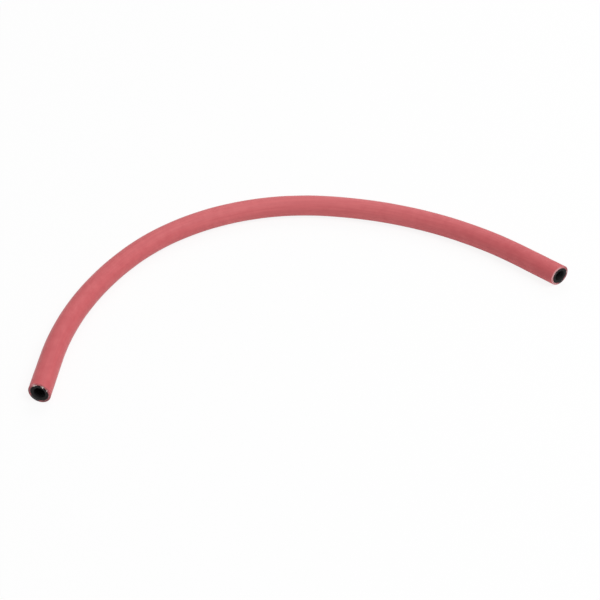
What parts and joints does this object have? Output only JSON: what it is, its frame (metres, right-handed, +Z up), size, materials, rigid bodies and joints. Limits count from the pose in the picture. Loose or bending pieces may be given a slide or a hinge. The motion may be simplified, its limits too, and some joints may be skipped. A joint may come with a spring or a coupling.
{
  "type": "rubber vacuum tubing",
  "caption": "Short length of thick-walled rubber vacuum hose, a red cover over a black liner, lying in an open bend; each hand-cut end pushes over a hose barb.",
  "frame": {"origin": "middle of the hose's box, on the surface that it lies on", "axes": "+X from the left end to the right end along the longest side, -Y out of the left end along its bore, +Z up from the surface"},
  "size_m": [0.2938, 0.1912, 0.0127],
  "materials": {
    "outer_cover": "matte red rubber",
    "inner_liner": "matte black rubber"
  },
  "bodies": {
    "root": {"outer_cover": "outer_cover", "inner_liner": "inner_liner"}
  },
  "joints": []
}
